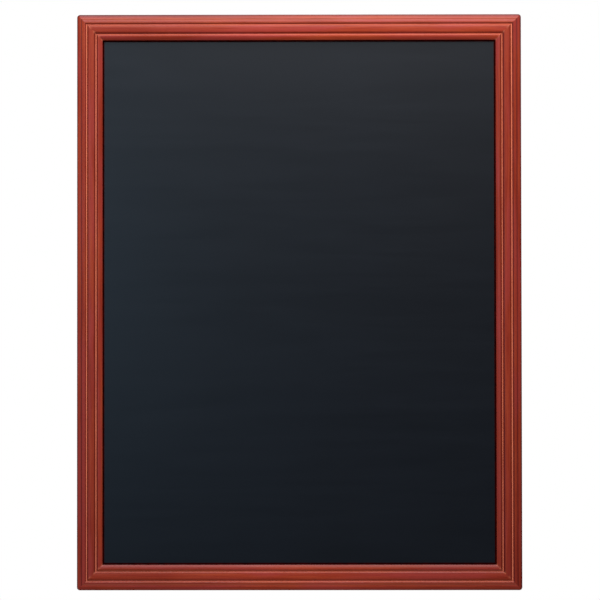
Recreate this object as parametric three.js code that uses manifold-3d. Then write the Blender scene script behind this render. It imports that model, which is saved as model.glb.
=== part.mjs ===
// A wall-hung menu board: a blank black writing panel held in a mitred, reeded wooden frame.
// Millimetres. X runs to the reader's right, Y into the wall and Z up.
// The origin is the middle of the frame's back plane, so the written face looks along -Y.

import * as THREE from 'three';
import { mergeVertices } from 'three/addons/utils/BufferGeometryUtils.js';
import Module from 'manifold-3d';

const wasm = await Module();
wasm.setup();

// The whole board, over the frame's outer edges
const boardWidth = 695;
const boardHeight = 900;
const cornerRadius = 4.5;

// The moulding's bands, as widths from the outer edge inwards: shoulder, quirk, ridge, groove,
// middle band, groove and bead. The middle band takes what the others leave.
const mouldingWidth = 40;
const shoulderWidth = 6.4;
const quirkWidth = 1.6;
const ridgeWidth = 5.2;
const grooveWidth = 4;
const beadWidth = 8;

// The moulding's heights above its back plane. The bands stand proud of bandHeight by their crowns.
const shoulderHeight = 17.3;
const shoulderDrop = 5;
const ridgeHeight = 16.9;
const bandHeight = 17.9;
const quirkDepth = 1;
const grooveDepth = 1.5;
const middleCrown = 1.4;
const sightHeight = 15.4;

// The bends of the curved bands. The shoulder and the ridge climb inwards, the middle band is level
// and rolls over at both edges, and the bead falls to the sight edge.
const shoulderRise = 2.3;
const shoulderRun = 4.8;
const shoulderClimb = 1.4;
const ridgeRun = 1.6;
const ridgeClimb = 0.9;
const ridgeRoll = 1.3;
const ridgeRise = 1;
const middleRoll = 2.6;
const beadRoll = 1.6;
const beadRise = 1.4;
const sightRoll = 3.2;
const sightFall = 2.9;

// The rabbet that takes the panel, behind the lip
const rabbetWidth = 8;
const rabbetDepth = 12.4;

// The panel: a black facing on hardboard
const sheetThickness = 0.8;
const coreThickness = 3;
const panelPlay = 1;

// Framer's points, pushed into the rabbet wall over the panel's back
const pointsAcross = 3;
const pointsUp = 4;
const pointWidth = 6;
const pointThickness = 0.8;
const pointReach = 7;
const pointBite = 7;
const pointTip = 3;

// V nails across each mitre, by the distance of their inner corner from both outer edges
const outerNailInset = 12;
const innerNailInset = 26;
const nailLeg = 7;
const nailThickness = 0.8;
const nailDepth = 8;
const nailSink = 0.2;

// Strap hangers on the stiles, with a D ring in each rolled eye
const hangerDrop = 225;
const hangerInset = 18;
const strapWidth = 12;
const strapThickness = 1.2;
const wireDiameter = 2.2;
const wirePlay = 0.25;
const eyeCloseAngle = 205;
const ringDrop = 18;
const ringSidePlay = 3.5;
const ringCornerRadius = 3;
const ringBowDepth = 8;
const ringButtGap = 0.3;

// Pan-head wood screws
const screwHeadDiameter = 6;
const screwHeadHeight = 1.9;
const screwShankDiameter = 3.2;
const screwLength = 13;
const screwTipLength = 3;
const eyeToHeadPlay = 1.15;
const ringToHeadPlay = 0.8;

// Rubber bumpers near the stiles' lower ends
const bumperHeight = 5;
const bumperBaseRadius = 6.5;
const bumperFaceRadius = 5.2;
const bumperRound = 0.8;
const bumperLift = 60;
const bumperInset = 18;

// Clearances
const glueLine = 0.2;
const seatGap = 0.1;
const slotPlay = 0.2;
const overrun = 2;

// Facets
const arcSteps = 10;
const roundSteps = 20;
const wireSides = 10;
const wireSteps = 56;

// Derived places
const rabbetWall = mouldingWidth - rabbetWidth;
const panelWidth = boardWidth - 2 * (rabbetWall + panelPlay);
const panelHeight = boardHeight - 2 * (rabbetWall + panelPlay);
const sheetFront = -(rabbetDepth - seatGap);
const coreFront = sheetFront + sheetThickness;
const panelBack = coreFront + coreThickness;
const pointFront = panelBack + seatGap;
const wireRadius = wireDiameter / 2;
const eyeRadius = wireRadius + wirePlay;
const eyeOuterRadius = eyeRadius + strapThickness;
const eyeAxis = strapThickness + eyeRadius;
const shankHoleRadius = screwShankDiameter / 2 + slotPlay;
const upperScrewDrop = eyeOuterRadius + eyeToHeadPlay + screwHeadDiameter / 2;
const lowerScrewDrop = ringDrop + wireDiameter + ringToHeadPlay + screwHeadDiameter / 2;
const screwDrops = [upperScrewDrop, lowerScrewDrop];
const hangerLevel = boardHeight / 2 - hangerDrop;
const hangerX = boardWidth / 2 - hangerInset;

// Materials
function material(color, roughness, metalness) {
  return new THREE.MeshStandardMaterial({ color, roughness, metalness });
}

const stainedWood = material(0x95402f, 0.38, 0);
const blackFacing = material(0x1d2226, 0.45, 0);
const hardboard = material(0x6b4a30, 0.8, 0);
const springSteel = material(0x8a8d90, 0.4, 0.9);
const zincPlate = material(0xb9bbb8, 0.35, 0.9);
const bumperRubber = material(0x2a2a2a, 0.75, 0);

// Turns a closed geometry into a solid that can be cut and joined
function solidOf(geometry) {
  const bare = geometry.clone();
  bare.deleteAttribute('normal');
  bare.deleteAttribute('uv');
  const merged = mergeVertices(bare);
  return new wasm.Manifold(new wasm.Mesh({
    numProp: 3,
    vertProperties: new Float32Array(merged.attributes.position.array),
    triVerts: new Uint32Array(merged.index.array),
  }));
}

// Turns a cut solid back into a geometry
function geometryOf(solid) {
  const mesh = solid.getMesh();
  const geometry = new THREE.BufferGeometry();
  geometry.setAttribute('position', new THREE.BufferAttribute(mesh.vertProperties, 3));
  geometry.setIndex(new THREE.BufferAttribute(mesh.triVerts, 1));
  geometry.computeVertexNormals();
  return geometry;
}

// A slab drawn in the board's own plane and thick along Y
function slab(outline, fromY, toY) {
  const settings = { depth: toY - fromY, steps: 1, bevelEnabled: false, curveSegments: arcSteps };
  const geometry = new THREE.ExtrudeGeometry(outline, settings);
  geometry.rotateX(Math.PI / 2);
  geometry.translate(0, toY, 0);
  return geometry;
}

function rectangle(left, right, low, high) {
  const outline = new THREE.Shape();
  outline.moveTo(left, low);
  outline.lineTo(right, low);
  outline.lineTo(right, high);
  outline.lineTo(left, high);
  return outline;
}

function roundedRectangle(width, height, radius) {
  const x = width / 2 - radius;
  const z = height / 2 - radius;
  const outline = new THREE.Shape();
  outline.absarc(x, z, radius, 0, Math.PI / 2);
  outline.absarc(-x, z, radius, Math.PI / 2, Math.PI);
  outline.absarc(-x, -z, radius, Math.PI, 1.5 * Math.PI);
  outline.absarc(x, -z, radius, 1.5 * Math.PI, 2 * Math.PI);
  return outline;
}

// A round-bottomed groove: the part of a circle that is as wide and deep as the groove
function addCove(outline, from) {
  const half = grooveWidth / 2;
  const radius = (half * half + grooveDepth * grooveDepth) / (2 * grooveDepth);
  const rise = Math.asin((radius - grooveDepth) / radius);
  const centreHeight = bandHeight - grooveDepth + radius;
  outline.absarc(from + half, centreHeight, radius, Math.PI + rise, 2 * Math.PI - rise, false);
}

// The moulding's section: x is the distance from the outer edge, y the height above the back
function mouldingSection() {
  const shoulderStart = shoulderHeight - shoulderDrop;
  const quirkFloor = shoulderHeight - quirkDepth;
  const ridgeStart = shoulderWidth + quirkWidth;
  const outerGrooveStart = ridgeStart + ridgeWidth;
  const middleStart = outerGrooveStart + grooveWidth;
  const beadStart = mouldingWidth - beadWidth;
  const innerGrooveStart = beadStart - grooveWidth;
  const middlePull = bandHeight + middleCrown * 4 / 3;
  const outline = new THREE.Shape();
  outline.moveTo(0, 0);
  outline.lineTo(0, shoulderStart);
  outline.bezierCurveTo(0, shoulderStart + shoulderRise,
    shoulderWidth - shoulderRun, shoulderHeight - shoulderClimb, shoulderWidth, shoulderHeight);
  outline.lineTo(shoulderWidth + quirkWidth / 2, quirkFloor);
  outline.lineTo(ridgeStart, ridgeHeight);
  outline.bezierCurveTo(ridgeStart + ridgeRun, ridgeHeight + ridgeClimb,
    outerGrooveStart - ridgeRoll, bandHeight + ridgeRise, outerGrooveStart, bandHeight);
  addCove(outline, outerGrooveStart);
  outline.lineTo(middleStart, bandHeight);
  outline.bezierCurveTo(middleStart + middleRoll, middlePull,
    innerGrooveStart - middleRoll, middlePull, innerGrooveStart, bandHeight);
  addCove(outline, innerGrooveStart);
  outline.bezierCurveTo(beadStart + beadRoll, bandHeight + beadRise,
    mouldingWidth - sightRoll, sightHeight + sightFall, mouldingWidth, sightHeight);
  outline.lineTo(mouldingWidth, rabbetDepth);
  outline.lineTo(rabbetWall, rabbetDepth);
  outline.lineTo(rabbetWall, 0);
  return outline;
}

// The section carried along X, with its outer edge up and both ends sheared to the mitre
function mitredLength(length, edge) {
  const settings = { depth: 1, steps: 1, bevelEnabled: false, curveSegments: arcSteps };
  const geometry = new THREE.ExtrudeGeometry(mouldingSection(), settings);
  const mitreTrim = glueLine * Math.SQRT1_2;
  const position = geometry.attributes.position;
  for (let i = 0; i < position.count; i += 1) {
    const across = position.getX(i);
    const height = position.getY(i);
    const end = position.getZ(i) < 0.5 ? 1 : -1;
    position.setXYZ(i, end * (length / 2 - across - mitreTrim), -height, edge - across);
  }
  return geometry;
}

// A V nail seen from behind: two square legs from its inner corner at (x, z)
function nailOutline(x, z, outward, margin) {
  const reach = nailLeg + margin;
  const wall = nailThickness + margin;
  const corners = [
    [-margin, -margin], [reach, -margin], [reach, wall],
    [wall, wall], [wall, reach], [-margin, reach],
  ];
  return new THREE.Shape(corners.map(([u, v]) => new THREE.Vector2(x + outward * u, z + v)));
}

// Evenly spread places along a side's rabbet
function pointPlaces(length, count) {
  const clear = length - 2 * mouldingWidth;
  return Array.from({ length: count }, (_, i) => clear * ((i + 0.5) / count - 0.5));
}

// What is cut out of one side: nail slots at its ends, point slots, and pilot holes for screws
function sideCutters({ length, edge, points, screwPlaces }) {
  const cutters = [];
  for (const outward of [1, -1]) {
    for (const inset of [outerNailInset, innerNailInset]) {
      const apexX = outward * (length / 2 - inset);
      const slot = nailOutline(apexX, edge - inset, outward, slotPlay);
      cutters.push(slab(slot, -(nailSink + nailDepth + slotPlay), overrun));
    }
  }
  for (const x of pointPlaces(length, points)) {
    const half = pointWidth / 2 + slotPlay;
    const wall = edge - rabbetWall;
    const slot = rectangle(x - half, x + half, wall - overrun, wall + pointBite + slotPlay);
    cutters.push(slab(slot, pointFront - slotPlay, pointFront + pointThickness + slotPlay));
  }
  for (const x of screwPlaces) {
    const depth = screwLength - strapThickness + slotPlay;
    const hole = new THREE.CylinderGeometry(shankHoleRadius, shankHoleRadius, depth + overrun, roundSteps);
    hole.translate(x, (overrun - depth) / 2, edge - hangerInset);
    cutters.push(hole);
  }
  return cutters;
}

// One side of the frame, as it lies along the top
function sideGeometry(side) {
  const { length, edge } = side;
  const outer = slab(roundedRectangle(length, 2 * edge, cornerRadius), -2 * bandHeight, overrun);
  let solid = solidOf(mitredLength(length, edge)).intersect(solidOf(outer));
  for (const cutter of sideCutters(side)) {
    solid = solid.subtract(solidOf(cutter));
  }
  return geometryOf(solid);
}

// A framer's point: a flat tab with its tip in the wood and its heel over the panel
function pointGeometry() {
  const half = pointWidth / 2;
  const outline = new THREE.Shape();
  outline.moveTo(-half, -pointReach);
  outline.lineTo(half, -pointReach);
  outline.lineTo(half, pointBite - pointTip);
  outline.lineTo(0, pointBite);
  outline.lineTo(-half, pointBite - pointTip);
  return slab(outline, pointFront, pointFront + pointThickness);
}

// A strap's side view: flat against the wood, then rolled round the ring's bar
function strapSection() {
  const close = THREE.MathUtils.degToRad(eyeCloseAngle);
  const end = -(lowerScrewDrop + strapWidth / 2);
  const outline = new THREE.Shape();
  outline.moveTo(end, 0);
  outline.lineTo(0, 0);
  outline.absarc(0, eyeAxis, eyeOuterRadius, -Math.PI / 2, close, false);
  outline.absarc(0, eyeAxis, eyeRadius, close, -Math.PI / 2, true);
  outline.lineTo(end, strapThickness);
  return outline;
}

// A strap's plan: a rounded lower end and two screw holes
function strapPlan() {
  const half = strapWidth / 2;
  const top = eyeOuterRadius + overrun;
  const outline = new THREE.Shape();
  outline.moveTo(half, top);
  outline.lineTo(-half, top);
  outline.absarc(0, -lowerScrewDrop, half, Math.PI, 2 * Math.PI, false);
  for (const drop of screwDrops) {
    outline.holes.push(new THREE.Path().absarc(0, -drop, shankHoleRadius, 0, 2 * Math.PI, true));
  }
  return outline;
}

function strapGeometry() {
  const width = strapWidth + 2 * overrun;
  const settings = { depth: width, steps: 1, bevelEnabled: false, curveSegments: arcSteps };
  const rolled = new THREE.ExtrudeGeometry(strapSection(), settings);
  rolled.translate(0, 0, -width / 2);
  rolled.rotateY(-Math.PI / 2);
  const plan = slab(strapPlan(), -overrun, eyeAxis + eyeOuterRadius + overrun);
  return geometryOf(solidOf(rolled).intersect(solidOf(plan)));
}

// A D ring hanging from its bar, bent from one wire whose ends meet inside the eye
function ringGeometry() {
  const halfWidth = strapWidth / 2 + ringSidePlay + wireRadius;
  const barHalf = halfWidth - ringCornerRadius;
  const bowTop = -(ringDrop + wireRadius - ringBowDepth);
  const bend = new THREE.Path();
  bend.moveTo(ringButtGap / 2, 0);
  bend.lineTo(barHalf, 0);
  bend.absarc(barHalf, -ringCornerRadius, ringCornerRadius, Math.PI / 2, 0, true);
  bend.absellipse(0, bowTop, halfWidth, ringBowDepth, 0, Math.PI, true);
  bend.absarc(-barHalf, -ringCornerRadius, ringCornerRadius, Math.PI, Math.PI / 2, true);
  bend.lineTo(-ringButtGap / 2, 0);
  const route = bend.getSpacedPoints(wireSteps).map((p) => new THREE.Vector3(p.x, 0, p.y));
  const section = new THREE.Shape();
  section.absarc(0, 0, wireRadius, 0, 2 * Math.PI, false);
  return new THREE.ExtrudeGeometry(section, {
    extrudePath: new THREE.CatmullRomCurve3(route),
    steps: wireSteps,
    curveSegments: wireSides / 2,
  });
}

// A pan-head screw standing on the plane of its head's underside, turned about Y
function screwGeometry() {
  const shank = screwShankDiameter / 2;
  const head = screwHeadDiameter / 2;
  const outline = new THREE.Path();
  outline.moveTo(0, -screwLength);
  outline.lineTo(shank, screwTipLength - screwLength);
  outline.lineTo(shank, 0);
  outline.lineTo(head, 0);
  outline.lineTo(head, screwHeadHeight / 3);
  outline.quadraticCurveTo(head, screwHeadHeight, head / 3, screwHeadHeight);
  outline.lineTo(0, screwHeadHeight);
  return new THREE.LatheGeometry(outline.getPoints(arcSteps / 2), roundSteps);
}

// A bumper: a rubber pad that tapers to its flat face
function bumperGeometry() {
  const outline = new THREE.Path();
  outline.moveTo(0, 0);
  outline.lineTo(bumperBaseRadius, 0);
  outline.lineTo(bumperFaceRadius, bumperHeight - bumperRound);
  outline.quadraticCurveTo(bumperFaceRadius, bumperHeight, bumperFaceRadius - bumperRound, bumperHeight);
  outline.lineTo(0, bumperHeight);
  return new THREE.LatheGeometry(outline.getPoints(arcSteps / 2), roundSteps);
}

// Adds a named piece to a group
function addPiece(parent, name, geometry, finish) {
  const mesh = new THREE.Mesh(geometry, finish);
  mesh.name = name;
  parent.add(mesh);
  return mesh;
}

// The four sides, each with its points, turned a quarter at a time from the top clockwise
function addSide(parent, side) {
  const group = new THREE.Group();
  group.rotation.y = side.quarterTurns * Math.PI / 2;
  addPiece(group, side.name, sideGeometry(side), stainedWood);
  pointPlaces(side.length, side.points).forEach((x, i) => {
    const point = addPiece(group, `framer_point_${side.label}_${i + 1}`, pointGeometry(), springSteel);
    point.position.set(x, 0, side.edge - rabbetWall);
  });
  parent.add(group);
}

function addFrame(parent) {
  const across = { length: boardWidth, edge: boardHeight / 2, points: pointsAcross, screwPlaces: [] };
  const up = { length: boardHeight, edge: boardWidth / 2, points: pointsUp };
  const levels = screwDrops.map((drop) => hangerLevel - drop);
  const downwards = levels.map((level) => -level);
  addSide(parent, { ...across, name: 'rail_top', label: 'top', quarterTurns: 0 });
  addSide(parent, { ...up, name: 'stile_right', label: 'right', quarterTurns: 1, screwPlaces: downwards });
  addSide(parent, { ...across, name: 'rail_bottom', label: 'bottom', quarterTurns: 2 });
  addSide(parent, { ...up, name: 'stile_left', label: 'left', quarterTurns: 3, screwPlaces: levels });
}

// Two nails across each mitre, turned a quarter at a time from the top right clockwise
function addNails(parent) {
  const corners = [
    ['top_right', 1, 1], ['bottom_right', 1, -1], ['bottom_left', -1, -1], ['top_left', -1, 1],
  ];
  corners.forEach(([label, right, up], quarterTurns) => {
    const group = new THREE.Group();
    group.position.set(right * boardWidth / 2, 0, up * boardHeight / 2);
    group.rotation.y = quarterTurns * Math.PI / 2;
    for (const [place, inset] of [['outer', outerNailInset], ['inner', innerNailInset]]) {
      const geometry = slab(nailOutline(-inset, -inset, 1, 0), -(nailSink + nailDepth), -nailSink);
      addPiece(group, `v_nail_${label}_${place}`, geometry, springSteel);
    }
    parent.add(group);
  });
}

function addPanel(parent) {
  const sheet = new THREE.BoxGeometry(panelWidth, sheetThickness, panelHeight);
  const core = new THREE.BoxGeometry(panelWidth, coreThickness, panelHeight);
  addPiece(parent, 'writing_sheet', sheet, blackFacing).position.y = sheetFront + sheetThickness / 2;
  addPiece(parent, 'backing_panel', core, hardboard).position.y = coreFront + coreThickness / 2;
}

function addHanger(parent, label, x) {
  const group = new THREE.Group();
  group.position.set(x, 0, hangerLevel);
  addPiece(group, `hanger_strap_${label}`, strapGeometry(), zincPlate);
  addPiece(group, `hanger_ring_${label}`, ringGeometry(), zincPlate).position.y = eyeAxis;
  screwDrops.forEach((drop, i) => {
    const screw = addPiece(group, `hanger_screw_${label}_${i + 1}`, screwGeometry(), zincPlate);
    screw.position.set(0, strapThickness + seatGap, -drop);
  });
  parent.add(group);
}

function addBumper(parent, label, x) {
  const bumper = addPiece(parent, `wall_bumper_${label}`, bumperGeometry(), bumperRubber);
  bumper.position.set(x, 0, bumperLift - boardHeight / 2);
}

const board = new THREE.Group();
addFrame(board);
addNails(board);
addPanel(board);
addHanger(board, 'left', -hangerX);
addHanger(board, 'right', hangerX);
addBumper(board, 'left', bumperInset - boardWidth / 2);
addBumper(board, 'right', boardWidth / 2 - bumperInset);

export default board;
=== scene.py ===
"""The looks of a wall-hung menu board: a blank black panel in a reeded, red-brown wooden frame.

Metres, in the model's own frame: X runs to the reader's right, Y into the wall and Z up, and the origin is
the middle of the frame's back plane. Sizes of the object's own pieces are written in millimetres and turned
into metres where a mesh is made.
"""

from __future__ import annotations

import logging
from collections.abc import Sequence
from dataclasses import dataclass
from enum import Enum

import bpy
import numpy as np
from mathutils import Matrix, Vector


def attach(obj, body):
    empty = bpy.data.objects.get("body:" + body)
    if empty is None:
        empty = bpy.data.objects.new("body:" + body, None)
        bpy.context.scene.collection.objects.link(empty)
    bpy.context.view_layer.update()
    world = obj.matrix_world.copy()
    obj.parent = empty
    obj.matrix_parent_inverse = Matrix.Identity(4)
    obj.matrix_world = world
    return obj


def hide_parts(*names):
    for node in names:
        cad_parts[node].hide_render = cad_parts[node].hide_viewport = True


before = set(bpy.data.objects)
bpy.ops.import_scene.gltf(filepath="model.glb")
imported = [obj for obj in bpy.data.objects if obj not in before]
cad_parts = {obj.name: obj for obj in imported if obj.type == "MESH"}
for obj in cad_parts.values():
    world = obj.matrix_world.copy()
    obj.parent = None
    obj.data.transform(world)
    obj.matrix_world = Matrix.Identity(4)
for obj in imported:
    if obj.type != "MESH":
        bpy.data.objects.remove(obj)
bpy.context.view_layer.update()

MM = 0.001
BOARD_WIDTH = 695.0
BOARD_HEIGHT = 900.0
log = logging.getLogger("menu_board")

Colour = tuple[float, float, float]
Pair = tuple[float, float]
Socket = bpy.types.NodeSocket
Value = Socket | float
MIX_FIRST, MIX_SECOND, MIX_RESULT = 6, 7, 2  # the Mix node's colour sockets, among those of other types
TINY = 1e-9


class Grain(Enum):
    """The axis that the wood's fibres run along."""

    ALONG_X = 0
    ALONG_Z = 2

    def stretch(self, along: float, across: float) -> tuple[float, ...]:
        """Gives a value for each of the three axes, from those along and across the fibres."""
        return tuple(along if axis == self.value else across for axis in range(3))


class Hand(Enum):
    """The side of the board that a piece of hardware is on, as a reader sees it."""

    LEFT = -1
    RIGHT = 1

    @property
    def label(self) -> str:
        """Gives the word that the pieces' names use."""
        return self.name.lower()


class Side(Enum):
    """The frame's sides, in quarter turns clockwise from the top."""

    TOP = 0
    RIGHT = 1
    BOTTOM = 2
    LEFT = 3

    @property
    def level(self) -> bool:
        """Tells the level rails from the upright stiles."""
        return self in (Side.TOP, Side.BOTTOM)

    @property
    def node(self) -> str:
        """Gives the side's own name."""
        return f"{'rail' if self.level else 'stile'}_{self.name.lower()}"

    @property
    def grain(self) -> Grain:
        """Gives the axis that this side's fibres run along."""
        return Grain.ALONG_X if self.level else Grain.ALONG_Z

    @property
    def length(self) -> float:
        """Gives the side's own length."""
        return BOARD_WIDTH if self.level else BOARD_HEIGHT

    @property
    def reach(self) -> float:
        """Gives how far the side's outer edge is from the board's middle."""
        return (BOARD_HEIGHT if self.level else BOARD_WIDTH) / 2

    def turn(self, points: np.ndarray) -> np.ndarray:
        """Turns points from the top to this side: each quarter turn carries (x, z) to (z, -x).

        Args:
            points: the (x, y, z) points as they lie along the top.

        Returns:
            The turned points, in a new array.
        """
        turned_points = points.copy()
        for _ in range(self.value):
            turned_points = turned_points[..., [2, 1, 0]] * np.array([1.0, 1.0, -1.0])
        return turned_points


def smooth_step(values: np.ndarray, low: float, high: float) -> np.ndarray:
    """Gives 3t^2 - 2t^3, where t is how far each value is from low to high, held between 0 and 1."""
    t = np.clip((values - low) / (high - low), 0.0, 1.0)
    return t * t * (3.0 - 2.0 * t)


def full_turn(count: int) -> np.ndarray:
    """Gives a number of angles, spread evenly round a full turn from zero."""
    return np.linspace(0.0, 2.0 * np.pi, count, endpoint=False)


def arc(centre: Sequence[float], radii: Sequence[float], degrees: Sequence[float], steps: int) -> np.ndarray:
    """Gives points on an ellipse: centre + (a cos t, b sin t), with t evenly spread between two angles.

    Args:
        centre: the ellipse's middle.
        radii: its half axes a and b.
        degrees: the first and last angle.
        steps: the number of spaces between the points.

    Returns:
        The points, one a row.
    """
    t = np.radians(np.linspace(degrees[0], degrees[1], steps + 1))
    return np.column_stack([centre[0] + radii[0] * np.cos(t), centre[1] + radii[1] * np.sin(t)])


def curve(*corners: Sequence[float], steps: int = 24) -> np.ndarray:
    """Gives points on a cubic curve: (1-t)^3 a + 3 (1-t)^2 t b + 3 (1-t) t^2 c + t^3 d, with t from 0 to 1.

    Args:
        corners: its start a, the points b and c that pull it, and its end d.
        steps: the number of spaces between the points.

    Returns:
        The points, one a row.
    """
    t = np.linspace(0.0, 1.0, steps + 1)[:, None]
    a, b, c, d = (np.asarray(corner) for corner in corners)
    return (1 - t) ** 3 * a + 3 * (1 - t) ** 2 * t * b + 3 * (1 - t) * t ** 2 * c + t ** 3 * d


def lengths_along(points: np.ndarray) -> np.ndarray:
    """Gives each point's distance along the path through the points."""
    return np.concatenate([[0.0], np.cumsum(np.linalg.norm(np.diff(points, axis=0), axis=1))])


def spread_evenly(points: np.ndarray, count: int) -> np.ndarray:
    """Gives points at equal distances along the path through some points.

    Args:
        points: the path's points, one a row.
        count: the number of points to give.

    Returns:
        The points, one a row.
    """
    along = lengths_along(points)
    places = np.linspace(0.0, along[-1], count)
    return np.column_stack([np.interp(places, along, points[:, axis]) for axis in range(points.shape[1])])


def square_to(path: np.ndarray) -> np.ndarray:
    """Gives a flat path's unit normal at each point: its direction (a, b) turned to (-b, a).

    Args:
        path: the path's points, one a row.

    Returns:
        The normals, one a row.
    """
    along = np.gradient(path, axis=0)
    along /= np.linalg.norm(along, axis=1, keepdims=True)
    return np.column_stack([-along[:, 1], along[:, 0]])


def inset(outline: np.ndarray, distance: float) -> np.ndarray:
    """Moves a closed outline's sides inwards, each corner by (m + n) d / (1 + m.n) for normals m and n.

    Args:
        outline: the closed outline's points, one a row.
        distance: how far the sides move.

    Returns:
        The moved outline.
    """
    following = np.roll(outline, -1, axis=0)
    sides = following - outline
    area = 0.5 * np.sum(outline[:, 0] * following[:, 1] - following[:, 0] * outline[:, 1])
    normals = np.column_stack([-sides[:, 1], sides[:, 0]]) / np.linalg.norm(sides, axis=1, keepdims=True)
    normals *= np.sign(area)
    before = np.roll(normals, 1, axis=0)
    shares = 1.0 + np.sum(normals * before, axis=1, keepdims=True)
    return outline + distance * (normals + before) / shares


def quads_between(rings: int, around: int) -> np.ndarray:
    """Joins point j of each closed ring to point j + 1 and to the same two points of the next ring.

    Args:
        rings: the number of rings.
        around: the number of points in each.

    Returns:
        The quads, one a row, as places in the list of all rings' points.
    """
    i, j = np.meshgrid(np.arange(rings - 1), np.arange(around), indexing="ij")
    after = (j + 1) % around
    corners = [i * around + j, i * around + after, (i + 1) * around + after, (i + 1) * around + j]
    return np.stack(corners, axis=-1).reshape(-1, 4)


def put(name: str, data: bpy.types.ID) -> bpy.types.Object:
    """Puts an object into the scene, at the origin.

    Args:
        name: its name.
        data: what it shows: a mesh, a lamp or a camera.

    Returns:
        The object.
    """
    placed = bpy.data.objects.new(name, data)
    bpy.context.scene.collection.objects.link(placed)
    return placed


@dataclass(frozen=True)
class Layer:
    """A layer of soft noise: its cycles in a metre, and how detailed, rough and swirled it is.

    The cycles are one value, or one for each axis, or those along and across a grain.
    """

    cycles: float | tuple[float, ...]
    detail: float = 2.0
    roughness: float = 0.5
    swirl: float = 0.0
    shift: tuple[float, float, float] = (0.0, 0.0, 0.0)


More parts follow.
